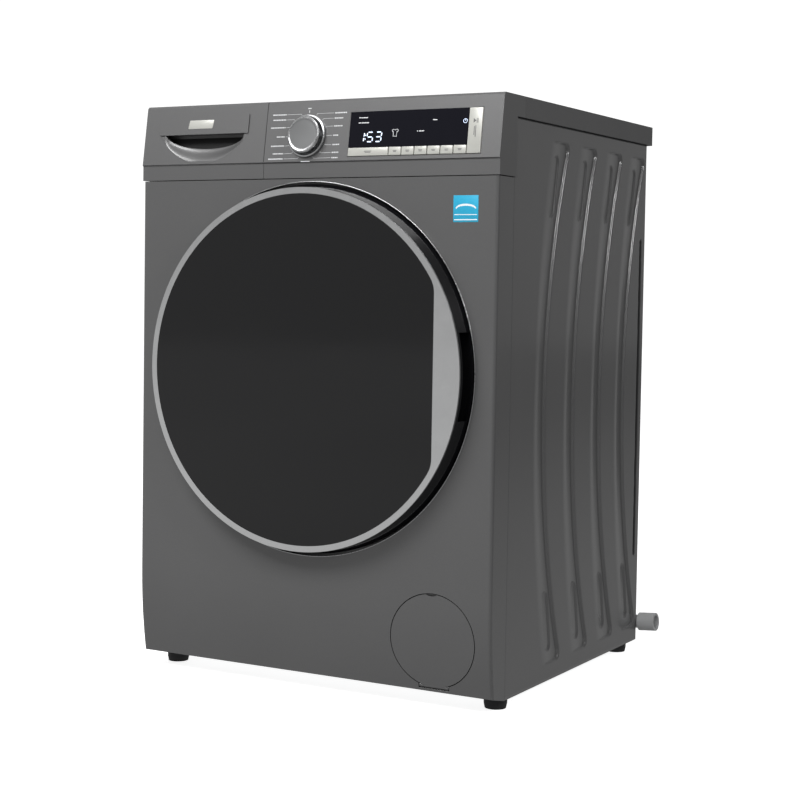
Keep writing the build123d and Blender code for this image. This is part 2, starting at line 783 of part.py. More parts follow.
def rear_snap_fittings():
    """Drain elbow, hose clips and the mains-cord gland."""
    fittings = rod_y(HOSE_START_X, HOSE_START_Z, HOSE_R, 255, HOSE_Y)
    fittings += Pos(HOSE_START_X, HOSE_Y, HOSE_START_Z) * Sphere(HOSE_R)
    fittings += rod_z(HOSE_START_X, HOSE_Y, HOSE_R, HOSE_START_Z, HOSE_ROUTE[0][2] - 0.1)
    for run in CLIP_RUNS:
        start, end = Vector(*HOSE_ROUTE[run]), Vector(*HOSE_ROUTE[run + 1])
        middle = (start + end) * 0.5
        plane = Plane(origin=middle, z_dir=end - start)
        ring = plane * (Cylinder(HOSE_R + 1.7, 8) - Cylinder(HOSE_R + 0.6, 9))
        ring += box(middle.X - 4, middle.X + 4, 266.2, HOSE_Y - HOSE_R - 0.7, middle.Z - 4, middle.Z + 4)
        fittings += ring
    gland = rod_y(240, 700, 9, 262, 276) + rod_y(240, 700, 13, 266.2, 270)
    return fittings + gland - rod_y(240, 700, 4, 255, 280)


NODES = {
    "side_panel_left": side_panel(-1),
    "side_panel_right": side_panel(1),
    "front_panel": front_panel(),
    "filter_recess": filter_recess(),
    "rear_panel": rear_panel(),
    "service_cover": service_cover(),
    "base_pan": base_pan(),
    "worktop": worktop(),
    "control_fascia": control_fascia(),
    "display_window": display_window(),
    "program_knob": program_knob(),
    "drawer_front": drawer_front(),
    "drawer_tray": drawer_tray(),
    "dispenser_housing": dispenser_housing(),
    "door_frame": door_frame(),
    "door_trim_ring": door_trim_ring(),
    "door_window": door_window(),
    "door_inner_ring": door_inner_ring(),
    "door_glass": door_bowl(),
    "door_hook": door_hook(),
    "hinge_bracket": hinge_bracket(),
    "door_lock": door_lock(),
    "door_gasket": door_gasket(),
    "tub_front": tub_front(),
    "tub_rear": tub_rear(),
    "wash_heater": wash_heater(),
    "counterweights": counterweights(),
    "drum_bearings": drum_bearings(),
    "drive_motor": drive_motor(),
    "motor_pulley": motor_pulley(),
    "drive_belt": drive_belt(),
    "drying_duct": drying_duct(),
    "drying_fan": drying_fan(),
    "suspension_springs": suspension_springs(),
    "damper_rods": damper_rods(),
    "damper_cylinders": damper_cylinders(),
    "drum_shell": drum_shell(),
    "drum_paddles": drum_paddles(),
    "drum_spider": drum_spider(),
    "drum_pulley": drum_pulley(),
    "drain_pump": drain_pump(),
    "pump_filter": pump_filter(),
    "sump_hose": sump_hose(),
    "filter_flap": filter_flap(),
    "inlet_valves": inlet_valves(),
    "drain_hose": drain_hose(),
    "hose_cuff": hose_cuff(),
    "rear_snap_fittings": rear_snap_fittings(),
}
for name, spans in KEYS.items():
    NODES[name] = key(*spans)
for place, (foot_x, foot_y) in {
    "front_left": (-FOOT_X, FOOT_YS[0]),
    "front_right": (FOOT_X, FOOT_YS[0]),
    "rear_left": (-FOOT_X, FOOT_YS[1]),
    "rear_right": (FOOT_X, FOOT_YS[1]),
}.items():
    NODES["foot_" + place] = foot(foot_x, foot_y)

for name, shape in NODES.items():
    write(name, shape)
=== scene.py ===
"""Looks of the front-loading washer-dryer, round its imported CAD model. Metres, +Z up, front towards -Y."""

import json
from math import cos, hypot, pi, radians, sin, sqrt

import bmesh
import bpy
from mathutils import Matrix, Vector


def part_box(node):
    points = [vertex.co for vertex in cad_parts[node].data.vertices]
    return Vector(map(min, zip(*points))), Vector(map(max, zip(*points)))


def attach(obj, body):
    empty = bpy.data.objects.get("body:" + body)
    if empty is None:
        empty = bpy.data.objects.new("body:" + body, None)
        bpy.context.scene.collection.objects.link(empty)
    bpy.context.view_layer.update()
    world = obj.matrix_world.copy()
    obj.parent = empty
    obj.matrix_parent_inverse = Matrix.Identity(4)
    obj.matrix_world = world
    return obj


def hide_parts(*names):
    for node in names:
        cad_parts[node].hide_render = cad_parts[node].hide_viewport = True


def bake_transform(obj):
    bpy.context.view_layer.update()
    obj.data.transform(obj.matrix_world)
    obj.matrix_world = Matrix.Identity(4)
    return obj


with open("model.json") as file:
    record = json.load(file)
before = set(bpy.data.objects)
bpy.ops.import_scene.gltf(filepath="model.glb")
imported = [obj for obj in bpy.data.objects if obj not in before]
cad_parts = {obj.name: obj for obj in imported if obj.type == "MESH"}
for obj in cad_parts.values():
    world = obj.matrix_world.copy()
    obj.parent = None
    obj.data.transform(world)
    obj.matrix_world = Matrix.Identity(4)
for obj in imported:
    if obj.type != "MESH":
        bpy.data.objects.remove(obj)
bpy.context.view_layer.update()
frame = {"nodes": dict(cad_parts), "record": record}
NODES = frame["nodes"]
BODY_OF = {node: body for body, group in frame["record"]["behaviour"]["bodies"].items() for node in group}
SLOT_OF = {part["node"]: part["material_slot"] for part in frame["record"]["subparts"]}

MM = 0.001
DOOR_Z = 0.4625
DRUM_R = 0.245
KNOB_X, KNOB_Z = -0.009, 0.7935
LEAN = 0.142
FACE_TOP_Y, FACE_TOP_Z = -0.2549, 0.845
SLANT = sqrt(1 + LEAN * LEAN)
KNOB_Y = FACE_TOP_Y - (FACE_TOP_Z - KNOB_Z) * LEAN

# ---------------------------------------------------------------- camera and light


def make_camera():
    """A long lens at the front right, a little above the middle of the machine."""
    target = Vector((0.0518, 0, 0.458))
    place = Vector((1.3003, -2.2809, 0.5855))
    roll = 0.0168
    back = (place - target).normalized()
    right = (-back).cross(Vector((0, 0, 1))).normalized()
    up = back.cross(right)
    x_axis = right * cos(roll) + up * sin(roll)
    y_axis = up * cos(roll) - right * sin(roll)
    data = bpy.data.cameras.new("camera")
    data.sensor_width = 36
    data.lens = 75.735
    data.shift_x = -0.0375
    data.shift_y = -0.0405
    data.clip_end = 100
    camera = bpy.data.objects.new("camera", data)
    bpy.context.scene.collection.objects.link(camera)
    rotation = Matrix((x_axis, y_axis, back)).transposed()
    camera.matrix_world = Matrix.Translation(place) @ rotation.to_4x4()
    bpy.context.scene.camera = camera


def area_light(name, place, aim, size, power, colour=(1, 1, 1)):
    data = bpy.data.lights.new(name, "AREA")
    data.shape = "RECTANGLE"
    data.size, data.size_y = size
    data.energy = power
    data.color = colour
    light = bpy.data.objects.new(name, data)
    bpy.context.scene.collection.objects.link(light)
    direction = Vector(aim) - Vector(place)
    light.rotation_euler = direction.to_track_quat("-Z", "Y").to_euler()
    light.location = place


def left_bright(tree, reach, left, right):
    """A level that falls from the left of the machine to its right, over the given reach along X."""
    where = tree.nodes.new("ShaderNodeTexCoord")
    split = tree.nodes.new("ShaderNodeSeparateXYZ")
    fall = tree.nodes.new("ShaderNodeMapRange")
    fall.inputs["From Min"].default_value = -reach
    fall.inputs["From Max"].default_value = reach
    fall.inputs["To Min"].default_value = left
    fall.inputs["To Max"].default_value = right
    tree.links.new(where.outputs["Object"], split.inputs[0])
    tree.links.new(split.outputs["X"], fall.inputs["Value"])
    return fall.outputs["Result"]


def make_light():
    """White surroundings, a broad soft box above the front and two small lights at the right."""
    world = bpy.data.worlds.new("studio")
    bpy.context.scene.world = world
    world.use_nodes = True
    tree = world.node_tree
    tree.nodes.clear()
    path = tree.nodes.new("ShaderNodeLightPath")
    seen = tree.nodes.new("ShaderNodeBackground")
    seen.inputs["Color"].default_value = (1, 1, 1, 1)
    seen.inputs["Strength"].default_value = 1.1
    around = tree.nodes.new("ShaderNodeBackground")
    around.inputs["Color"].default_value = (1, 1, 1, 1)
    tree.links.new(left_bright(tree, 1.0, 0.44, 0.18), around.inputs["Strength"])
    mix = tree.nodes.new("ShaderNodeMixShader")
    out = tree.nodes.new("ShaderNodeOutputWorld")
    tree.links.new(path.outputs["Is Camera Ray"], mix.inputs[0])
    tree.links.new(around.outputs[0], mix.inputs[1])
    tree.links.new(seen.outputs[0], mix.inputs[2])
    tree.links.new(mix.outputs[0], out.inputs[0])
    area_light("front_box", (-0.5, -2.3, 3.0), (0, 0, 0.5), (2.6, 1.4), 126)
    area_light("right_strip", (2.45, -1.2, 1.8), (0.3, 0, 0.65), (0.3, 0.8), 20)
    area_light("key_spot", (1.9, -2.6, 1.9), (0, -0.2, 0.6), (0.4, 0.4), 4)


def make_floor():
    mesh = bpy.data.meshes.new("floor")
    bm = bmesh.new()
    bmesh.ops.create_circle(bm, cap_ends=True, radius=14, segments=96)
    bm.to_mesh(mesh)
    bm.free()
    floor = bpy.data.objects.new("floor", mesh)
    bpy.context.scene.collection.objects.link(floor)
    floor.location.z = -0.0002
    material = bpy.data.materials.new("pale_floor")
    material.use_nodes = True
    tree = material.node_tree
    shader = tree.nodes["Principled BSDF"]
    shader.inputs["Base Color"].default_value = (0.9, 0.9, 0.9, 1)
    shader.inputs["Roughness"].default_value = 0.55
    shader.inputs["Emission Color"].default_value = (1, 1, 1, 1)
    shader.inputs["Emission Strength"].default_value = 0.86
    dull = tree.nodes.new("ShaderNodeBsdfPrincipled")
    dull.inputs["Base Color"].default_value = (0.12, 0.12, 0.12, 1)
    dull.inputs["Roughness"].default_value = 1.0
    dull.inputs["Specular IOR Level"].default_value = 0.0
    dull.inputs["Emission Color"].default_value = (1, 1, 1, 1)
    tree.links.new(left_bright(tree, 2.5, 0.47, 0.08), dull.inputs["Emission Strength"])
    path = tree.nodes.new("ShaderNodeLightPath")
    mix = tree.nodes.new("ShaderNodeMixShader")
    tree.links.new(path.outputs["Is Camera Ray"], mix.inputs[0])
    tree.links.new(dull.outputs[0], mix.inputs[1])
    tree.links.new(shader.outputs[0], mix.inputs[2])
    tree.links.new(mix.outputs[0], tree.nodes["Material Output"].inputs["Surface"])
    mesh.materials.append(material)


# ---------------------------------------------------------------- materials


class Paint:
    """A procedural material under construction: the shader and a few ways to add detail to it."""

    def __init__(self, name, colour, rough, metal=0.0):
        self.material = bpy.data.materials.new(name)
        self.material.use_nodes = True
        self.tree = self.material.node_tree
        self.shader = self.tree.nodes["Principled BSDF"]
        self.colour = colour
        self.shader.inputs["Base Color"].default_value = (*colour, 1)
        self.shader.inputs["Roughness"].default_value = rough
        self.shader.inputs["Metallic"].default_value = metal
        self.bumped = None

    def node(self, kind, **values):
        made = self.tree.nodes.new(kind)
        for key, value in values.items():
            setattr(made, key, value)
        return made

    def link(self, a, b):
        self.tree.links.new(a, b)

    def maths(self, operation, first, second=None):
        """The result of a sum on sockets or plain numbers."""
        made = self.node("ShaderNodeMath", operation=operation)
        for slot, value in zip(made.inputs, (first, second)):
            if isinstance(value, (int, float)):
                slot.default_value = value
            elif value is not None:
                self.link(value, slot)
        return made.outputs[0]

    def distance(self, across, up):
        squares = [self.maths("MULTIPLY", side, side) for side in (across, up)]
        return self.maths("SQRT", self.maths("ADD", *squares))

    def axes(self):
        """The X, Y and Z of the point being shaded."""
        split = self.node("ShaderNodeSeparateXYZ")
        self.link(self.place(), split.inputs[0])
        return split.outputs

    def place(self, stretch=(1, 1, 1)):
        """Coordinates in metres in the machine's own frame."""
        where = self.node("ShaderNodeTexCoord")
        scale = self.node("ShaderNodeMapping")
        scale.inputs["Scale"].default_value = stretch
        self.link(where.outputs["Object"], scale.inputs["Vector"])
        return scale.outputs["Vector"]

    def noise(self, scale, detail=2.0, stretch=(1, 1, 1)):
        made = self.node("ShaderNodeTexNoise")
        made.inputs["Scale"].default_value = scale
        made.inputs["Detail"].default_value = detail
        self.link(self.place(stretch), made.inputs["Vector"])
        return made.outputs["Fac"]

    def spread(self, fac, low, high):
        made = self.node("ShaderNodeMapRange")
        made.inputs["From Min"].default_value = 0.25
        made.inputs["From Max"].default_value = 0.75
        made.inputs["To Min"].default_value = low
        made.inputs["To Max"].default_value = high
        self.link(fac, made.inputs["Value"])
        return made.outputs["Result"]

    def mottle(self, scale, amount, stretch=(1, 1, 1)):
        """Colour that varies by the given share, over patches of 1/scale metres."""
        gain = self.spread(self.noise(scale, 4.0, stretch), 1 - amount, 1 + amount)
        mix = self.node("ShaderNodeVectorMath", operation="SCALE")
        mix.inputs[0].default_value = self.colour
        source = self.shader.inputs["Base Color"]
        if source.is_linked:
            self.link(source.links[0].from_socket, mix.inputs[0])
        self.link(gain, mix.inputs["Scale"])
        self.link(mix.outputs[0], source)
        return self

    def uneven_gloss(self, scale, low, high, stretch=(1, 1, 1)):
        self.link(self.spread(self.noise(scale, 3.0, stretch), low, high), self.shader.inputs["Roughness"])
        return self

    def bump(self, height, distance, strength=1.0):
        made = self.node("ShaderNodeBump")
        made.inputs["Strength"].default_value = strength
        made.inputs["Distance"].default_value = distance
        self.link(height, made.inputs["Height"])
        if self.bumped:
            self.link(self.bumped, made.inputs["Normal"])
        self.bumped = made.outputs["Normal"]
        self.link(self.bumped, self.shader.inputs["Normal"])
        return self

    def grain(self, scale, distance, stretch=(1, 1, 1), strength=1.0):
        return self.bump(self.noise(scale, 2.0, stretch), distance, strength)

    def coat(self, weight, rough):
        self.shader.inputs["Coat Weight"].default_value = weight
        self.shader.inputs["Coat Roughness"].default_value = rough
        return self


def perforate_as_painted_shade(paint, pitch, hole):
    """Round holes in rows, as dots of painted shade that darken the base colour, on the drum's wall and
    across its rear disc.
    """
    x, y, z = paint.axes()
    up = paint.maths("SUBTRACT", z, DOOR_Z)
    join = paint.node("ShaderNodeCombineXYZ")
    paint.link(paint.maths("MULTIPLY", paint.maths("ARCTAN2", up, x), DRUM_R), join.inputs["X"])
    paint.link(paint.maths("SUBTRACT", y, paint.distance(x, up)), join.inputs["Y"])
    cells = paint.node("ShaderNodeTexVoronoi", distance="EUCLIDEAN", feature="F1")
    cells.inputs["Scale"].default_value = 1 / pitch
    cells.inputs["Randomness"].default_value = 0.0
    paint.link(join.outputs[0], cells.inputs["Vector"])
    edge = paint.node("ShaderNodeMapRange")
    edge.inputs["From Min"].default_value = hole / pitch
    edge.inputs["From Max"].default_value = hole / pitch + 0.08
    # the hole centres go nearly black: painted shade in place of the dark seen through real holes
    edge.inputs["To Min"].default_value = 0.02
    edge.inputs["To Max"].default_value = 1.0
    paint.link(cells.outputs["Distance"], edge.inputs["Value"])
    mix = paint.node("ShaderNodeVectorMath", operation="SCALE")
    mix.inputs[0].default_value = paint.colour
    paint.link(edge.outputs["Result"], mix.inputs["Scale"])
    paint.link(mix.outputs[0], paint.shader.inputs["Base Color"])
    paint.bump(edge.outputs["Result"], 0.0006)


def make_materials():
    made = {}

    def keep(slot, paint):
        made[slot] = paint.material
        return paint

    steel = keep("painted_steel", Paint("painted_steel", (0.112, 0.112, 0.113), 0.36, 0.35))
    steel.mottle(2600, 0.16).mottle(7, 0.03).coat(0.8, 0.12)
    steel.grain(900, 0.00004).grain(2400, 0.00002)
    fascia = keep("fascia_plastic", Paint("fascia_plastic", (0.132, 0.132, 0.133), 0.38, 0.4))
    fascia.mottle(2600, 0.14).mottle(9, 0.03).coat(0.2, 0.3).grain(1500, 0.00002)
    lid = keep("lid_plastic", Paint("lid_plastic", (0.1, 0.1, 0.101), 0.48))
    lid.mottle(1800, 0.12).mottle(11, 0.04).grain(1300, 0.00006)
    zinc = keep("zinc_steel", Paint("zinc_steel", (0.5, 0.51, 0.52), 0.42, 0.9))
    zinc.mottle(45, 0.16).uneven_gloss(60, 0.32, 0.52).grain(320, 0.00004)
    gloss = keep("black_gloss", Paint("black_gloss", (0.006, 0.006, 0.007), 0.09))
    gloss.uneven_gloss(30, 0.06, 0.12).grain(60, 0.00002)
    silver = keep("satin_silver", Paint("satin_silver", (0.76, 0.765, 0.77), 0.2, 1.0))
    silver.uneven_gloss(80, 0.16, 0.25).mottle(30, 0.03).grain(1800, 0.000008)
    window = keep("smoked_window", Paint("smoked_window", (0.0055, 0.0055, 0.006), 0.07))
    window.uneven_gloss(12, 0.05, 0.09).grain(25, 0.00002)
    clear = keep("clear_glass", Paint("clear_glass", (0.85, 0.9, 0.89), 0.04))
    clear.shader.inputs["Transmission Weight"].default_value = 0.92
    clear.shader.inputs["IOR"].default_value = 1.5
    clear.uneven_gloss(15, 0.02, 0.06).grain(20, 0.00003)
    glass = keep("display_glass", Paint("display_glass", (0.004, 0.004, 0.0075), 0.12))
    glass.uneven_gloss(40, 0.09, 0.14).grain(90, 0.00001)
    glass.shader.inputs["IOR"].default_value = 1.32
    key = keep("key_silver", Paint("key_silver", (0.49, 0.49, 0.455), 0.34, 0.15))
    key.mottle(60, 0.03).grain(1600, 0.00001)
    knob = keep("knob_metal", Paint("knob_metal", (0.5, 0.505, 0.51), 0.28, 1.0))
    knob.uneven_gloss(500, 0.22, 0.36).mottle(300, 0.05).grain(2000, 0.00001)
    rubber = keep("grey_rubber", Paint("grey_rubber", (0.15, 0.155, 0.16), 0.62))
    rubber.mottle(40, 0.1).grain(700, 0.00008)
    black = keep("black_rubber", Paint("black_rubber", (0.014, 0.014, 0.015), 0.55))
    black.mottle(50, 0.15).grain(800, 0.0001)
    hose = keep("hose_plastic", Paint("hose_plastic", (0.46, 0.465, 0.47), 0.46))
    hose.mottle(35, 0.06).uneven_gloss(90, 0.38, 0.55).grain(700, 0.00004)
    tub = keep("tub_plastic", Paint("tub_plastic", (0.55, 0.56, 0.57), 0.5))
    tub.mottle(25, 0.05).grain(500, 0.0001)
    white = keep("white_plastic", Paint("white_plastic", (0.7, 0.71, 0.72), 0.4))
    white.mottle(30, 0.03).grain(900, 0.00003)
    dark = keep("dark_plastic", Paint("dark_plastic", (0.02, 0.02, 0.022), 0.5))
    dark.mottle(40, 0.15).grain(900, 0.00008)
    drum = keep("stainless", Paint("stainless", (0.6, 0.61, 0.62), 0.25, 1.0))
    drum.uneven_gloss(12, 0.2, 0.32, (1, 40, 1)).grain(900, 0.00001, (1, 0.05, 1))
    perforate_as_painted_shade(drum, 0.017, 0.0024)
    cast = keep("cast_weight", Paint("cast_weight", (0.22, 0.22, 0.22), 0.8, 0.3))
    cast.mottle(18, 0.2).grain(260, 0.0005)
    alloy = keep("cast_alloy", Paint("cast_alloy", (0.5, 0.5, 0.51), 0.45, 0.9))
    alloy.mottle(35, 0.1).grain(420, 0.0002)
    bearing = keep("bearing_steel", Paint("bearing_steel", (0.6, 0.6, 0.61), 0.18, 1.0))
    bearing.uneven_gloss(300, 0.12, 0.26).mottle(60, 0.05)
    plain = {
        # flat black for plates of painted shade in gaps, slots, grooves and notches
        "void_black": ((0.004, 0.004, 0.0045), 0.7),
        "print_white": ((0.62, 0.63, 0.64), 0.5),
        "glow_white": ((0.7, 0.8, 0.95), 0.4),
        "sticker_blue": ((0.02, 0.38, 0.6), 0.45),
        "sticker_white": ((0.82, 0.86, 0.88), 0.45),
        "key_print": ((0.12, 0.12, 0.12), 0.5),
    }
    for name, (colour, rough) in plain.items():
        keep(name, Paint(name, colour, rough)).mottle(400, 0.06).grain(1500, 0.000006)
    lamp = made["glow_white"].node_tree.nodes["Principled BSDF"]
    lamp.inputs["Emission Color"].default_value = (0.72, 0.82, 1.0, 1)
    lamp.inputs["Emission Strength"].default_value = 0.75
    return made


# ---------------------------------------------------------------- mesh helpers


def add_mesh(name, verts, faces, slot, body, sharp=35):
    mesh = bpy.data.meshes.new(name)
    mesh.from_pydata([tuple(v) for v in verts], [], faces)
    mesh.validate()
    bm = bmesh.new()
    bm.from_mesh(mesh)
    bmesh.ops.recalc_face_normals(bm, faces=bm.faces)
    bm.to_mesh(mesh)
    bm.free()
    return add_piece(name, mesh, slot, body, sharp)


def add_piece(name, mesh, slot, body, sharp=35):
    mesh.shade_smooth()
    mesh.set_sharp_from_angle(angle=radians(sharp))
    piece = bpy.data.objects.new(name, mesh)
    bpy.context.scene.collection.objects.link(piece)
    mesh.materials.clear()
    mesh.materials.append(MATERIALS[slot])
    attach(piece, body)
    return piece


def bevelled(piece, width, segments=2, angle=40):
    """Rounds every hard edge of the piece, in real geometry."""
    flat = piece.modifiers.new("flat_faces", "DECIMATE")
    flat.decimate_type = "DISSOLVE"
    flat.angle_limit = radians(0.6)
    edge = piece.modifiers.new("rounded_edges", "BEVEL")
    edge.width = width
    edge.segments = segments
    edge.limit_method = "ANGLE"
    edge.angle_limit = radians(angle)
    edge.use_clamp_overlap = True
    edge.harden_normals = False
    even = piece.modifiers.new("even_normals", "WEIGHTED_NORMAL")
    even.keep_sharp = False
    even.weight = 60
    return piece


def lathe(profile, centre, steps):
    """Vertices and faces of a closed (radius, y) outline turned about a line along Y through (x, z)."""
    verts, faces = [], []
    count = len(profile)
    for k in range(steps):
        turn = 2 * pi * k / steps
        for radius, y in profile:
            verts.append((centre[0] + radius * cos(turn), y, centre[1] + radius * sin(turn)))
        here, there = k * count, (k + 1) % steps * count
        for i in range(count):
            j = (i + 1) % count
            faces.append((here + i, here + j, there + j, there + i))
    return verts, faces


def skin(verts, count):
    """Vertices and faces of a form through rings of count points each, with both ends closed."""
    faces = []
    for low in range(0, len(verts) - count, count):
        for i in range(low, low + count):
            j = low + (i + 1 - low) % count
            faces.append((i, j, j + count, i + count))
    faces.append(tuple(range(count)))
    faces.append(tuple(range(len(verts) - 1, len(verts) - count - 1, -1)))
    return verts, faces


def circle(x, v, radius, steps):
    turns = [2 * pi * k / steps for k in range(steps)]
    return [(x + radius * cos(turn), v + radius * sin(turn)) for turn in turns]


def softened(outline, radius, steps=3):
    """The closed outline with each corner replaced by a short arc."""
    result = []
    for i, point in enumerate(outline):
        here = Vector(point)
        before = Vector(outline[i - 1]) - here
        after = Vector(outline[(i + 1) % len(outline)]) - here
        reach = min(radius, before.length * 0.45, after.length * 0.45)
        start = here + before.normalized() * reach
        end = here + after.normalized() * reach
        for k in range(steps + 1):
            t = k / steps
            result.append(tuple(start * (1 - t) ** 2 + here * 2 * t * (1 - t) + end * t * t))
    return result


def face_point(x, v, w):
    """A point on the leaning fascia face: x right, v up the face, w out of it."""
    return Vector((x, KNOB_Y + (LEAN * v - w) / SLANT, KNOB_Z + (v + LEAN * w) / SLANT))


def plate(outline, low, high, edge, place):
    """A flat plate with a rounded front rim: outline points are (x, v), place maps (x, v, w) to space."""
    centre = sum((Vector(p) for p in outline), Vector((0, 0))) / len(outline)
    inward = []
    for i, point in enumerate(outline):
        along = Vector(outline[(i + 1) % len(outline)]) - Vector(outline[i - 1])
        normal = Vector((-along.y, along.x)).normalized()
        inward.append(-normal if normal.dot(centre - Vector(point)) < 0 else normal)
    verts = []
    for inset, w in ((0.0, low), (0.0, high - edge), (edge * 0.35, high - edge * 0.3), (edge, high)):
        moved = [Vector(point) + normal * inset for point, normal in zip(outline, inward)]
        verts += [place(point.x, point.y, w) for point in moved]
    return skin(verts, len(outline))


def rounded_box(x0, x1, v0, v1, radius, steps=4):
    corners = [(x0, v0), (x1, v0), (x1, v1), (x0, v1)]
    return softened(corners, radius, steps)


def up_face(z):
    """Distance up the leaning fascia face from the knob's middle to height z."""
    return (z - KNOB_Z) * SLANT


def joined(parts):
    """Several (verts, faces) as one."""
    verts, faces = [], []
    for more_verts, more_faces in parts:
        base = len(verts)
        verts += list(more_verts)
        faces += [tuple(base + i for i in face) for face in more_faces]
    return verts, faces


# ---------------------------------------------------------------- cabinet sides


RIB_TOP, RIB_BOTTOM = 0.7935, 0.0395
RIB_FRONTS = (-0.0975, 0.0035, 0.1025, 0.1965)
RIB_WIDTH = 0.0665
RIB_BOW_FRONT, RIB_BOW_REAR = -0.045, -0.071
RIB_DEPTH = 0.0036
RIB_ROUND = 0.016
FOLD = 0.0022
PILL_DEPTH = 0.0021


def rib_bow(z):
    """How far along its curve a rib has swung forward at height z, from 0 at its ends to 1."""
    t = (z - RIB_BOTTOM) / (RIB_TOP - RIB_BOTTOM)
    return 1 - abs(2 * min(max(t, 0.0), 1.0) - 1) ** 2.1


def smooth_step(value, low, high):
    t = min(max((value - low) / (high - low), 0.0), 1.0)
    return t * t * (3 - 2 * t)


def rib_recess(s, z):
    """Depth of a rib at s, from 0 at its front edge to 1 at its rear edge, and height z."""
    width = RIB_WIDTH + (RIB_BOW_REAR - RIB_BOW_FRONT) * rib_bow(z)
    rear = (1 - s) * width
    end = min(RIB_TOP - z, z - RIB_BOTTOM)
    if rear < RIB_ROUND and end < RIB_ROUND:
        inner = RIB_ROUND - hypot(RIB_ROUND - rear, RIB_ROUND - end)
    else:
        inner = min(rear, end)
    return RIB_DEPTH * smooth_step(inner, 0.0, 0.0034) * smooth_step(s, 0.0, 0.8)


def pill_recess(y, z, rib):
    """The two shallow stadium dents near the ends of each rib."""
    depth = 0.0
    for low, high, lean in ((0.683, 0.7735, 0.16), (0.0575, 0.147, -0.16)):
        middle = (low + high) / 2
        centre = RIB_FRONTS[rib] + (0.0135 if lean > 0 else 0.018) + lean * (z - middle)
        half_long, half_wide = (high - low) / 2, 0.0125
        dz = max(abs(z - middle) - (half_long - half_wide), 0.0)
        inner = half_wide - hypot(y - centre, dz)
        depth = max(depth, PILL_DEPTH * smooth_step(inner, 0.0, 0.0024))
    return depth


def vent_recess(y, z):
    """The thin upright groove near the rear edge."""
    dz = max(abs(z - 0.4095) - 0.2505, 0.0)
    return 0.0042 * smooth_step(0.0046 - hypot(y - 0.2487, dz), 0.0, 0.0022)


def side_columns():
    """Column positions at the top of a rib, as (y, share of each bow), closer where the sheet bends."""
    columns = [(-0.2155, 0.0, 0.0), (-0.2105, 0.0, 0.0)]
    for k in range(1, 14):
        t = k / 14
        columns.append((-0.2105 + (RIB_FRONTS[0] + 0.2105) * t, t, 0.0))
    for rib, start in enumerate(RIB_FRONTS):
        for k in range(56):
            s = 0.92 * k / 56
            columns.append((start + RIB_WIDTH * s, 1 - s, s))
        for rear in (0.0046, 0.004, 0.0034, 0.0029, 0.0024, 0.0019, 0.0014, 0.0009, 0.0004, 0.0):
            s = 1 - rear / RIB_WIDTH
            columns.append((start + RIB_WIDTH * s, 1 - s, s))
        if rib < len(RIB_FRONTS) - 1:
            gap = RIB_FRONTS[rib + 1] - start - RIB_WIDTH
            for k in range(1, 10):
                t = k / 10
                columns.append((start + RIB_WIDTH + gap * t, t, 1 - t))
    return columns


def side_levels(low, high):
    """Heights of the rows of points, close together at the ribs' ends and over the dents."""
    levels = []
    z = low
    while z < high - 0.0004:
        levels.append(z)
        near_end = min(abs(z - RIB_TOP), abs(z - RIB_BOTTOM), abs(z - 0.66), abs(z - 0.159))
        dented = 0.05 < z < 0.155 or 0.675 < z < 0.78
        z += 0.0008 if near_end < 0.008 else 0.0013 if dented else 0.0045
    return levels + [high]


def recess_depth(y, place, z):
    """How far the sheet is pressed in at height z, for the column from y that its rib has moved to place."""
    depth = 0.0
    for rib, start in enumerate(RIB_FRONTS):
        s = (y - start) / RIB_WIDTH
        if -0.001 <= s <= 1.001:
            depth = max(depth, rib_recess(s, z))
        if -0.3 <= s <= 1.001:
            depth += pill_recess(place, z, rib)
    return depth


def folded_edge(outer, y, inward):
    """Flange and quarter-round fold at an upright edge; inward is 1 at the front edge and -1 at the rear."""
    turns = [radians(22.5 * k) for k in range(5)]
    fold = [(outer - FOLD + FOLD * sin(t), y + inward * FOLD * (1 - cos(t))) for t in turns]
    return [(outer - 0.016, y)] + fold


def side_row(outer, front, rear, columns, z):
    """The sheet's section at height z, as (x, y) points from its front flange to its rear one."""
    bow = rib_bow(z)
    points = folded_edge(outer, front, 1)
    for y, front_share, rear_share in columns:
        place = y + bow * (front_share * RIB_BOW_FRONT + rear_share * RIB_BOW_REAR)
        points.append((outer - recess_depth(y, place, z), place))
    last = points[-1][1]
    for k in range(1, 40):
        y = last + (rear - FOLD - 0.0005 - last) * k / 40
        points.append((outer - vent_recess(y, z), y))
    return points + folded_edge(outer, rear, -1)[::-1]


def side_panel(side):
    """Pressed steel side: four swept ribs with dents at their ends, folded front and rear edges."""
    name = "left" if side < 0 else "right"
    low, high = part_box("side_panel_" + name)
    outer = max(abs(low.x), abs(high.x))
    levels = side_levels(low.z, high.z)
    columns = side_columns()
    rows = [side_row(outer, low.y, high.y, columns, z) for z in levels]
    verts = [(side * x, y, z) for z, row in zip(levels, rows) for x, y in row]
    width = len(rows[0])
    faces = []
    for r in range(len(rows) - 1):
        for i in range(r * width, r * width + width - 1):
            quad = (i, i + 1, i + width + 1, i + width)
            faces.append(quad if side > 0 else quad[::-1])
    mesh = bpy.data.meshes.new("side_skin")
    mesh.from_pydata(verts, [], faces)
    piece = add_piece("cabinet_side_" + name, mesh, "painted_steel", "cabinet", 60)
    sheet = piece.modifiers.new("sheet", "SOLIDIFY")
    sheet.thickness = 0.0011
    sheet.offset = -1
    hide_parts("side_panel_" + name)


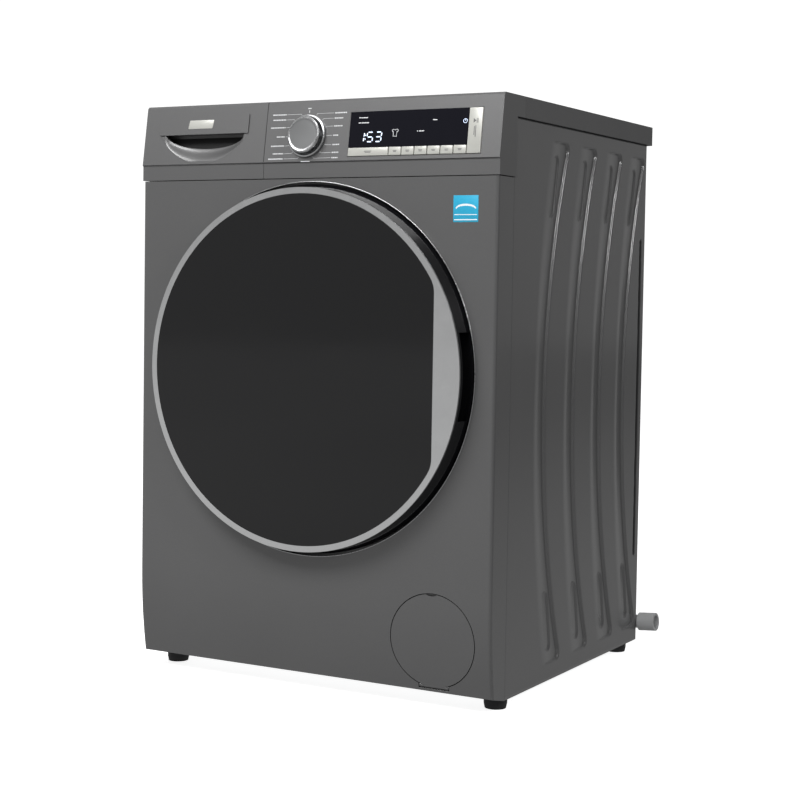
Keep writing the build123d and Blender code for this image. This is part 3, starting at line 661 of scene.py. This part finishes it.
def make_side_shade_lines(side):
    """Black plates of painted shade: over the slot near the rear edge and along the shadow gaps at the top
    and front of a side.
    """
    name = "left" if side < 0 else "right"
    outer = max(abs(corner.x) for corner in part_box("side_panel_" + name))
    place = lambda y, z, w: Vector((side * (outer + w), y, z))
    slots = [rounded_box(0.2454, 0.2520, 0.157, 0.662, 0.0033),
             rounded_box(-0.2180, 0.2672, 0.8138, 0.8157, 0.0005),
             rounded_box(-0.2182, -0.2171, 0.0200, 0.7330, 0.0004)]
    # black plates at the sheet's face: painted shade in the gaps and over the slot
    small_plates("side_gap_shade_" + name, slots, -0.0006, 0.00006, "void_black", "cabinet", place)


# ---------------------------------------------------------------- knob


def make_knob():
    """Turned knob: skirt, dark cone and a brushed face with a bright chamfer."""
    outline = [(0.0304, 0.0008), (0.0304, 0.0036), (0.0293, 0.0042), (0.0283, 0.0046), (0.0279, 0.0064),
               (0.0271, 0.0094), (0.0259, 0.0116), (0.0249, 0.0122), (0.0244, 0.0126), (0.0236, 0.0126),
               (0.0226, 0.0121), (0.0, 0.0118)]
    steps = 120
    verts = []
    for (r0, w0), (r1, w1) in zip(outline, outline[1:]):
        parts = 10 if r1 == 0 else 2
        for t in (k / parts for k in range(parts)):
            rim = circle(KNOB_X, 0, r0 + (r1 - r0) * t, steps)
            verts += [face_point(x, v, w0 + (w1 - w0) * t) for x, v in rim]
    faces = skin(verts, steps)[1]
    faces.pop()
    last = len(verts) - steps
    faces += [(last + k, last + (k + 1) % steps, len(verts)) for k in range(steps)]
    verts.append(face_point(KNOB_X, 0, outline[-1][1]))
    piece = add_mesh("selector_knob", verts, faces, "knob_metal", "knob", 28)
    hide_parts("program_knob")
    piece.data.materials.append(MATERIALS["dark_chrome"])
    piece.data.materials.append(MATERIALS["brushed_face"])
    centre = face_point(KNOB_X, 0, 0)
    normal = (face_point(KNOB_X, 0, 1) - centre).normalized()
    for polygon in piece.data.polygons:
        offset = polygon.center - centre
        w = offset.dot(normal)
        radius = (offset - normal * w).length
        if 0.0044 < w < 0.0108 and radius > 0.024:
            polygon.material_index = 1
        elif radius < 0.0228:
            polygon.material_index = 2
    dot = circle(KNOB_X + 0.0172, 0.0172, 0.0013, 16)
    add_mesh("knob_mark", *plate(dot, 0.0118, 0.01246, 0.0002, face_point), "print_white", "knob")


def make_knob_metals():
    dark = Paint("dark_chrome", (0.12, 0.122, 0.126), 0.16, 1.0)
    dark.uneven_gloss(200, 0.12, 0.22).mottle(80, 0.08)
    MATERIALS["dark_chrome"] = dark.material
    face = Paint("brushed_face", (0.4, 0.405, 0.41), 0.3, 1.0)
    x, _, z = face.axes()
    radius = face.distance(face.maths("SUBTRACT", x, KNOB_X), face.maths("SUBTRACT", z, KNOB_Z))
    rings = face.node("ShaderNodeTexNoise", noise_dimensions="1D")
    rings.inputs["Scale"].default_value = 2600
    rings.inputs["Detail"].default_value = 3
    face.link(radius, rings.inputs["W"])
    face.bump(rings.outputs["Fac"], 0.00002)
    face.shader.inputs["Anisotropic"].default_value = 0.55
    MATERIALS["brushed_face"] = face.material


# ---------------------------------------------------------------- fascia print, keys, display


DIGITS = {"1": "bc", "5": "afgcd", "3": "abgcd"}
BAR = 0.0016
SLOPE = 0.09


def segment_bars(digit, x, v, width, height):
    """The lit bars of one seven-segment figure, each a lozenge outline in (x, v)."""
    half = height / 2
    long, short, thick = BAR * 0.7, BAR * 1.1, BAR / 2
    rows = {"a": v + height, "g": v + half, "d": v}
    bars = []
    for name in DIGITS[digit]:
        if name in rows:
            y = rows[name]
            end = x + width
            outline = [(x + long, y), (x + short, y + thick), (end - short, y + thick), (end - long, y),
                       (end - short, y - thick), (x + short, y - thick)]
        else:
            at = x if name == "f" else x + width
            low = v if name == "c" else v + half
            top = low + half
            outline = [(at, low + BAR * 0.4), (at + thick, low + BAR), (at + thick, top - BAR),
                       (at, top - BAR * 0.4), (at - thick, top - BAR), (at - thick, low + BAR)]
        bars.append([(px + (pv - v) * SLOPE, pv) for px, pv in outline])
    return bars


def stroke(points, thick):
    """A closed line of the given thickness through the points, one piece for each side."""
    bars = []
    for i, point in enumerate(points):
        here, there = Vector(point), Vector(points[(i + 1) % len(points)])
        along = (there - here).normalized() * thick * 0.3
        across = (there - here).normalized().orthogonal() * thick / 2
        ends = (here - along + across, there + along + across, there + along - across, here - along - across)
        bars.append([tuple(end) for end in ends])
    return bars


def small_plates(name, outlines, low, high, slot, body, place=face_point):
    rim = min(0.00012, (high - low) * 0.4)
    return add_mesh(name, *joined([plate(o, low, high, rim, place) for o in outlines]), slot, body)


def make_display():
    """Lit figures, a garment sign, two bars and a few small signs on the dark display glass."""
    shine = 0.0003
    lit = 0.00042
    base = up_face(0.7827)
    height = up_face(0.7959) - base
    outlines = []
    for digit, x in (("1", 0.0752), ("5", 0.0893), ("3", 0.1030)):
        outlines += segment_bars(digit, x, base, 0.0092, height)
    for v in (base + height * 0.3, base + height * 0.7):
        outlines.append(rounded_box(0.0864, 0.0880, v - 0.0008, v + 0.0008, 0.0006))
    small_plates("display_figures", outlines, shine, lit, "glow_white", "cabinet")
    signs = []
    shirt = [(-4, 3.4), (-1.6, 4.2), (0, 3.2), (1.6, 4.2), (4, 3.4), (3.4, 1.2), (2.2, 1.6), (2.2, -4),
             (-2.2, -4),
             (-2.2, 1.6), (-3.4, 1.2)]
    signs += stroke([(0.1345 + x * MM * 1.2, 0.0005 + v * MM * 1.2) for x, v in shirt], 0.0007)
    for x, v, width in ((0.0745, 0.0234, 0.004), (0.0790, 0.0234, 0.0098), (0.0745, 0.0161, 0.004),
                        (0.0790, 0.0161, 0.0122), (0.1687, 0.0020, 0.0022), (0.1722, 0.0020, 0.0078),
                        (0.1925, 0.0170, 0.0065)):
        signs.append(rounded_box(x, x + width, v - 0.0007, v + 0.0007, 0.0005))
    small_plates("display_signs", signs, shine, lit, "print_white", "cabinet")
    dial = stroke(circle(0.2425, 0.0140, 0.0029, 24),
                  0.0006) + [rounded_box(0.2421, 0.2429, 0.0138, 0.0160, 0.0003)]
    small_plates("round_sign", dial, shine, lit, "glow_white", "cabinet")


def make_keys():
    """Pale keys with rounded edges and two printed bars on each, and a play sign on the start key."""
    for node in sorted(n for n in NODES if n.startswith("button_")):
        low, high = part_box(node)
        v0, v1 = (-0.031, -0.019) if node != "button_start" else (-0.031, 0.0318)
        outline = rounded_box(low.x + 0.00025, high.x - 0.00025, v0 + 0.0002, v1 - 0.0002, 0.0009)
        cap = plate(outline, -0.0026, 0.0014, 0.0006, face_point)
        middle = (low.x + high.x) / 2
        stem = plate(rounded_box(middle - 0.002, middle + 0.002, v0 + 0.004, v0 + 0.008, 0.0004), -0.008,
                     -0.0024,
                     0.0003, face_point)
        piece = add_mesh(node + "_cap", *joined([cap, stem]), "key_silver", BODY_OF[node])
        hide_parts(node)
        if node == "button_start":
            continue
        half = (0.011 if node == "button_delay" else 0.0052) / 2 + 0.0004
        dash = [rounded_box(middle - half, middle + half, -0.0248, -0.0239, 0.0004),
                rounded_box(middle - half * 0.8, middle + half * 0.8, -0.0264, -0.0255, 0.0004)]
        small_plates(node + "_mark", dash, 0.0014, 0.00148, "key_print", BODY_OF[node])
    low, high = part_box("button_start")
    middle = (low.x + high.x) / 2
    arrow = [(middle - 0.0030, 0.0168), (middle - 0.0030, 0.0104), (middle + 0.0012, 0.0136)]
    pauses = [rounded_box(middle + side, middle + side + 0.0009, 0.0104, 0.0168, 0.0003)
              for side in (0.0017, 0.0033)]
    lines = [rounded_box(middle - 0.0016, middle - 0.0005, -0.0062, 0.0062, 0.0004),
             rounded_box(middle + 0.0005, middle + 0.0016, -0.0088, 0.0072, 0.0004)]
    small_plates("button_start_mark", [arrow] + pauses + lines, 0.0014, 0.00148, "key_print",
                 "button_start_body")


def make_dial_print():
    """Fourteen programme positions: hooked leader lines with a row of short bars at the end of each."""
    outlines = []
    thick = 0.00022
    lengths = {0: 8.5, 1: 14.5, 2: 14, 3: 19.5, 5: 23, 6: 22, 7: 25, 8: 13.5, 9: 22, 10: 18, 11: 25,
               13: 10.5, 14: 11,
               15: 12}
    for k, length in lengths.items():
        turn = radians(22.5 * k)
        side = 1 if cos(turn) > 0 else -1
        start = Vector((KNOB_X + 0.0322 * cos(turn), 0.0322 * sin(turn)))
        bend = Vector((KNOB_X + 0.0352 * cos(turn), 0.034 * sin(turn) * 1.02))
        across = (bend - start).normalized().orthogonal() * thick
        outlines.append([tuple(start + across), tuple(bend + across), tuple(bend - across),
                         tuple(start - across)])
        end_x = KNOB_X + side * (0.0412 if side > 0 else 0.0368)
        if abs(end_x - bend.x) > 0.001:
            lo, hi = sorted((bend.x, end_x))
            outlines.append([(lo, bend.y - thick), (hi, bend.y - thick), (hi, bend.y + thick),
                             (lo, bend.y + thick)])
        label = end_x + side * 0.0018
        at, hi = sorted((label, label + side * (length * MM)))
        step = 0
        while at < hi - 0.0006:
            width = (0.0024, 0.0017, 0.0031)[(k + step) % 3]
            stop = min(at + width, hi)
            outlines.append(rounded_box(at, stop, bend.y - 0.0009, bend.y + 0.0009, 0.0004, 2))
            at = stop + 0.0005
            step += 1
    outlines.append(rounded_box(KNOB_X - 0.0028, KNOB_X + 0.0028, 0.0392, 0.0406, 0.0005))
    outlines.append(rounded_box(KNOB_X - 0.0006, KNOB_X + 0.0006, 0.0335, 0.0372, 0.0004))
    outlines.append(rounded_box(KNOB_X - 0.0075, KNOB_X + 0.0075, -0.0372, -0.0358, 0.0005))
    outlines = [o for o in outlines if min(x for x, v in o) > -0.0795]
    small_plates("dial_print", outlines, 0.0, 0.00012, "print_white", "cabinet")


def make_sticker():
    """A plain blue sheet on the front panel, with a white arc and two bands and no lettering."""
    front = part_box("front_panel")[0].y
    place = lambda x, v, w: Vector((x, front - w, v))
    small_plates("blue_sticker", [rounded_box(0.2293, 0.2673, 0.671, 0.707, 0.001)], 0.0, 0.00016,
                 "sticker_blue",
                 "cabinet", place)
    arc = [(0.2483 + 0.0155 * cos(t), 0.6895 + 0.0062 * sin(t)) for t in (pi * k / 20 for k in range(21))]
    arc += [(0.2483 + 0.0142 * cos(t), 0.6885 + 0.0044 * sin(t))
            for t in (pi * k / 20 for k in range(20, -1, -1))]
    band = [rounded_box(0.2310, 0.2656, 0.6735, 0.6749, 0.0004),
            rounded_box(0.2310, 0.2656, 0.6805, 0.6815, 0.0004)]
    small_plates("sticker_field", band, 0.00016, 0.0002, "sticker_white", "cabinet", place)
    strip = [[arc[k], arc[k + 1], arc[40 - k], arc[41 - k]] for k in range(20)]
    small_plates("sticker_arc", strip, 0.00016, 0.0002, "sticker_white", "cabinet", place)


# ---------------------------------------------------------------- drawer handle and flap


SCOOP_X, SCOOP_Z, SCOOP_R = -0.19075, 0.8514, 0.0937


def on_face(x, z, w):
    """A point on the leaning face given by its height above the floor at w = 0."""
    return face_point(x, (z - KNOB_Z) * SLANT, w)


def make_drawer_handle():
    """Smooth dish under the handle plate, the finger slot above it with a black plate of painted shade
    behind it, and a blank badge; black strips of painted shade line the drawer's gap and groove.
    """
    body = BODY_OF["drawer_front"]
    columns, rows = 96, 26
    verts, faces = [], []
    for i in range(columns + 1):
        x = SCOOP_X - 0.0788 + 0.1576 * i / columns
        arc = SCOOP_Z - sqrt(SCOOP_R ** 2 - (x - SCOOP_X) ** 2)
        share = max(0.0, 1 - ((x + 0.1895) / 0.0695) ** 2)
        slot = max(0.8001 - 0.0182 * sqrt(share), arc + 0.0002)
        verts.append(on_face(x, arc - 0.0004, 0.00002))
        for j in range(rows + 1):
            t = j / rows
            z = arc + (slot - arc) * t
            depth = 0.0115 * sqrt(max(share, 0.0)) * (3 * t * t - 2 * t ** 3)
            verts.append(on_face(x, z, 0.00004 - depth))
        for step in (1, 2, 3):
            verts.append(on_face(x, slot + 0.0002 * step, 0.00012 - 0.0115 * sqrt(share) - 0.002 * step))
    count = rows + 5
    for i in range(columns):
        for j in range(count - 1):
            a = i * count + j
            faces.append((a, a + count, a + count + 1, a + 1))
    dish = add_mesh("handle_dish", verts, faces, "fascia_plastic", body, 80)
    skin = dish.modifiers.new("skin", "SOLIDIFY")
    skin.thickness = 0.0004
    skin.offset = -1
    shade = [(SCOOP_X - 0.0745, 0.7990), (SCOOP_X - 0.05, 0.7800), (SCOOP_X, 0.7745),
             (SCOOP_X + 0.05, 0.7800),
             (SCOOP_X + 0.0745, 0.7990)]
    shade = [(x, (z - KNOB_Z) * SLANT) for x, z in shade]
    # black plate of painted shade behind the finger slot
    small_plates("handle_slot_shade", [shade], -0.0168, -0.0164, "void_black", body)
    badge = [(-0.2187, 0.8092), (-0.1750, 0.8092), (-0.1728, 0.8218), (-0.2165, 0.8218)]
    badge = softened([(x, up_face(z)) for x, z in badge], 0.0015)
    small_plates("handle_badge", [badge], 0.0014, 0.0019, "key_silver", body)
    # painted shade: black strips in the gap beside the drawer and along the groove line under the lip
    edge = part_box("drawer_front")[1].x
    gap = rounded_box(edge + 0.00005, edge + 0.0011, -0.0360, 0.0510, 0.0002)
    groove = (0.757 - KNOB_Z) * SLANT
    line = rounded_box(edge + 0.0011, 0.2972, groove - 0.0001, groove + 0.0004, 0.0001)
    small_plates("drawer_gap_shade", [gap, line], -0.0012, 0.00006, "void_black", "cabinet")
    line = rounded_box(-0.2972, edge - 0.0003, groove - 0.0001, groove + 0.0004, 0.0001)
    small_plates("drawer_groove_shade", [line], -0.0012, 0.00006, "void_black", body)


def make_highlight_lip():
    """The rolled edge round the door's recess, as a fine bead in the brighter knob metal rather than the
    panel's paint: a painted highlight line round the recess.
    """
    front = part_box("front_panel")[0].y
    bead = [(0.2665 + 0.0007 * cos(t), front + 0.0001 - 0.0007 * sin(t))
            for t in (2 * pi * k / 12 for k in range(12))]
    # brighter metal than the panel's paint, as a painted highlight along the recess edge
    add_mesh("recess_lip_highlight", *lathe(bead, (0.0, DOOR_Z), 240), "knob_metal", "cabinet", 80)


def make_flap_parts():
    """Rounded hinge barrel of the pump flap, and the thumb notch at its top drawn as a dark plate of painted
    shade.
    """
    body = BODY_OF["filter_flap"]
    steps, radius = 40, 0.0033
    verts = []
    for x, r in ((-0.023, radius * 0.86), (-0.0226, radius), (0.0226, radius), (0.023, radius * 0.86)):
        verts += [(0.2065 + x, y, z) for y, z in circle(-0.2533, 0.0315, r, steps)]
    add_mesh("flap_barrel", *skin(verts, steps), SLOT_OF["filter_flap"], body)
    low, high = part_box("filter_flap")
    notch = [(0.2055 + 0.0080 * cos(t), high.z - 0.0004 - 0.0022 * sin(t))
             for t in (pi * k / 16 for k in range(17))]
    place = lambda x, v, w: Vector((x, low.y - w, v))
    # dark plate of painted shade where the thumb notch dips in
    small_plates("flap_notch_shade", [notch], -0.0002, 0.00008, "void_black", body, place)


# ---------------------------------------------------------------- hose


HOSE_R = 0.011
HOSE_ROUTE = [
    (-0.215, 0.279, 0.128), (-0.215, 0.279, 0.262), (-0.224, 0.279, 0.412), (-0.184, 0.279, 0.560),
    (-0.072, 0.279, 0.652), (0.066, 0.279, 0.634), (0.142, 0.279, 0.520), (0.150, 0.279, 0.385),
    (0.136, 0.279, 0.250), (0.140, 0.279, 0.127), (0.172, 0.279, 0.075), (0.218, 0.279, 0.047),
    (0.264, 0.279, 0.040), (0.2976, 0.279, 0.0426),
]


def route_points():
    """Points along the hose's smooth line, read from its NURBS spline."""
    curve = bpy.data.curves.new("hose_line", "CURVE")
    curve.dimensions = "3D"
    curve.resolution_u = 24
    spline = curve.splines.new("NURBS")
    spline.points.add(len(HOSE_ROUTE) - 1)
    for point, place in zip(spline.points, HOSE_ROUTE):
        point.co = (*place, 1)
    spline.order_u = 3
    spline.use_endpoint_u = True
    holder = bpy.data.objects.new("hose_line", curve)
    mesh = bpy.data.meshes.new_from_object(holder)
    points = [v.co.copy() for v in mesh.vertices]
    bpy.data.objects.remove(holder)
    bpy.data.meshes.remove(mesh)
    bpy.data.curves.remove(curve)
    return points


def resampled(points, gap):
    """The same line with points the given gap apart."""
    lengths = [0.0]
    for a, b in zip(points, points[1:]):
        lengths.append(lengths[-1] + (b - a).length)
    count = max(2, int(lengths[-1] / gap))
    result, j = [], 0
    for k in range(count + 1):
        want = lengths[-1] * k / count
        while j < len(points) - 2 and lengths[j + 1] < want:
            j += 1
        span = lengths[j + 1] - lengths[j]
        t = (want - lengths[j]) / span if span else 0
        result.append(points[j].lerp(points[j + 1], t))
    return result, lengths[-1]


def make_hose():
    """Corrugated drain hose with plain ends."""
    path, length = resampled(route_points(), 0.00125)
    around = 20
    verts = []
    for i, point in enumerate(path):
        before, after = path[max(i - 1, 0)], path[min(i + 1, len(path) - 1)]
        along = (after - before).normalized()
        side = along.cross(Vector((0, 1, 0))).normalized()
        up = side.cross(along)
        done = length * i / (len(path) - 1)
        plain = min(done, length - done) < 0.026
        wave = 0.5 - 0.5 * cos(2 * pi * done / 0.005)
        radius = HOSE_R - 0.0002 if plain else HOSE_R - 0.0012 * (1 - min(1.0, wave * 1.35))
        for k in range(around):
            turn = 2 * pi * k / around
            verts.append(point + (side * cos(turn) + up * sin(turn)) * radius)
    hose = add_mesh("drain_hose_corrugated", *skin(verts, around), "hose_plastic", "cabinet", 70)
    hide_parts("drain_hose")


# ---------------------------------------------------------------- springs and seal


def make_springs():
    """Wound springs with a short round pin at each end, in place of the plain CAD sleeves."""
    low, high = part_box("suspension_springs")
    data = NODES["suspension_springs"].data
    middle = (low.x + high.x) / 2
    lefts = [v.co for v in data.vertices if v.co.x < middle]
    rights = [v.co for v in data.vertices if v.co.x >= middle]
    parts = []
    for group in (lefts, rights):
        x = (min(c.x for c in group) + max(c.x for c in group)) / 2
        y = (min(c.y for c in group) + max(c.y for c in group)) / 2
        coil_r = (max(c.y for c in group) - min(c.y for c in group)) / 2
        z0, z1 = min(c.z for c in group), max(c.z for c in group)
        wire = 0.0018
        turns, per_turn, around = 26, 20, 8
        verts = []
        steps = turns * per_turn
        for i in range(steps + 1):
            turn = 2 * pi * i / per_turn
            z = z0 + 0.012 + wire + (z1 - z0 - 0.024 - 2 * wire) * i / steps
            mid = Vector((x + (coil_r - wire) * cos(turn), y + (coil_r - wire) * sin(turn), z))
            out = Vector((cos(turn), sin(turn), 0))
            for k in range(around):
                a = 2 * pi * k / around
                verts.append(mid + out * (wire * cos(a)) + Vector((0, 0, wire * sin(a))))
        parts.append(skin(verts, around))
        for start in (z0, z1 - 0.016):
            pin = []
            for level, r in ((0.0, 0.0032), (0.004, 0.0042), (0.012, 0.0042), (0.016, 0.0032)):
                pin += [Vector((px, py, start + level)) for px, py in circle(x, y, r, 12)]
            parts.append(skin(pin, 12))
    verts, faces = joined(parts)
    piece = add_mesh("suspension_coils", verts, faces, "zinc_steel", "tub", 60)
    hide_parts("suspension_springs")
    bpy.context.view_layer.update()
    piece.parent = None
    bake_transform(piece)


def make_gasket():
    """Bellows seal between the door port and the tub, folded in rings."""
    low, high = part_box("door_gasket")
    front, rear = low.y, high.y
    span = rear - front
    outline = [(0.183, 0.0), (0.190, 0.0), (0.1935, 0.02), (0.1935, 0.12), (0.196, 0.2), (0.203, 0.26),
               (0.206, 0.32),
               (0.203, 0.38), (0.196, 0.44), (0.196, 0.5), (0.203, 0.56), (0.206, 0.62), (0.203, 0.68),
               (0.198, 0.74),
               (0.198, 0.86), (0.204, 0.94), (0.204, 1.0), (0.194, 1.0), (0.192, 0.9), (0.192, 0.74),
               (0.197, 0.66),
               (0.199, 0.62), (0.197, 0.58), (0.190, 0.52), (0.190, 0.42), (0.197, 0.36), (0.199, 0.32),
               (0.197, 0.28),
               (0.190, 0.22), (0.186, 0.12)]
    limit = (high.x - low.x) / 2
    profile = [(min(r, limit), front + span * t) for r, t in outline]
    verts, faces = lathe(softened(profile, 0.003, 2), (0.0, DOOR_Z), 128)
    piece = add_mesh("door_bellows", verts, faces, "grey_rubber", "cabinet", 60)
    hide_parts("door_gasket")
    piece.parent = None
    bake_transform(piece)


def make_base_tray():
    """The base pan with its side walls drawn in, clear of the ribs pressed into the sides."""
    mesh = NODES["base_pan"].data.copy()
    for vertex in mesh.vertices:
        if abs(vertex.co.x) > 0.286:
            vertex.co.x -= 0.006 if vertex.co.x > 0 else -0.006
    piece = add_piece("base_tray", mesh, SLOT_OF["base_pan"], "cabinet")
    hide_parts("base_pan")


def make_sump_hose():
    """The sump's rubber elbow, with its long edges subdivided."""
    mesh = NODES["sump_hose"].data.copy()
    bm = bmesh.new()
    bm.from_mesh(mesh)
    bmesh.ops.remove_doubles(bm, verts=bm.verts, dist=0.00002)
    bmesh.ops.subdivide_edges(bm, edges=[e for e in bm.edges if e.calc_length() > 0.012], cuts=2,
                              use_grid_fill=True)
    bm.to_mesh(mesh)
    bm.free()
    piece = add_piece("sump_elbow", mesh, "black_rubber", "cabinet", 50)
    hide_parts("sump_hose")
    piece.parent = None
    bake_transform(piece)


# ---------------------------------------------------------------- CAD nodes that stay


EDGE = {
    "front_panel": 0.0009, "control_fascia": 0.0007, "worktop": 0.0016, "drawer_front": 0.0002,
    "door_frame": 0.0007,
    "door_trim_ring": 0.0006, "door_window": 0.0005, "door_inner_ring": 0.0006, "door_glass": 0.0008,
    "filter_flap": 0.0006, "display_window": 0.0002, "rear_panel": 0.0004, "service_cover": 0.0006,
    "foot_front_left": 0.0008, "foot_front_right": 0.0008, "foot_rear_left": 0.0008,
    "foot_rear_right": 0.0008,
    "hose_cuff": 0.0007, "drawer_tray": 0.0006, "pump_filter": 0.0006, "door_hook": 0.0006,
    "inlet_valves": 0.0005,
    "rear_snap_fittings": 0.0006, "hinge_bracket": 0.0005, "filter_recess": 0.0005,
}


def dress_nodes():
    """Every CAD node gets its slot's material, and those in reach of the eye get rounded edges."""
    for name, node in NODES.items():
        node.data.materials.clear()
        node.data.materials.append(MATERIALS[SLOT_OF[name]])
        if node.hide_render:
            continue
        if name in EDGE:
            bevelled(node, EDGE[name])


make_camera()
MATERIALS = make_materials()
make_knob_metals()
make_hose()
make_light()
make_floor()
for side in (-1, 1):
    side_panel(side)
    make_side_shade_lines(side)
make_knob()
make_display()
make_keys()
make_dial_print()
make_sticker()
make_drawer_handle()
make_highlight_lip()
make_flap_parts()
make_springs()
make_gasket()
make_sump_hose()
make_base_tray()
dress_nodes()
bpy.context.scene.view_settings.view_transform = "Standard"
bpy.context.view_layer.update()
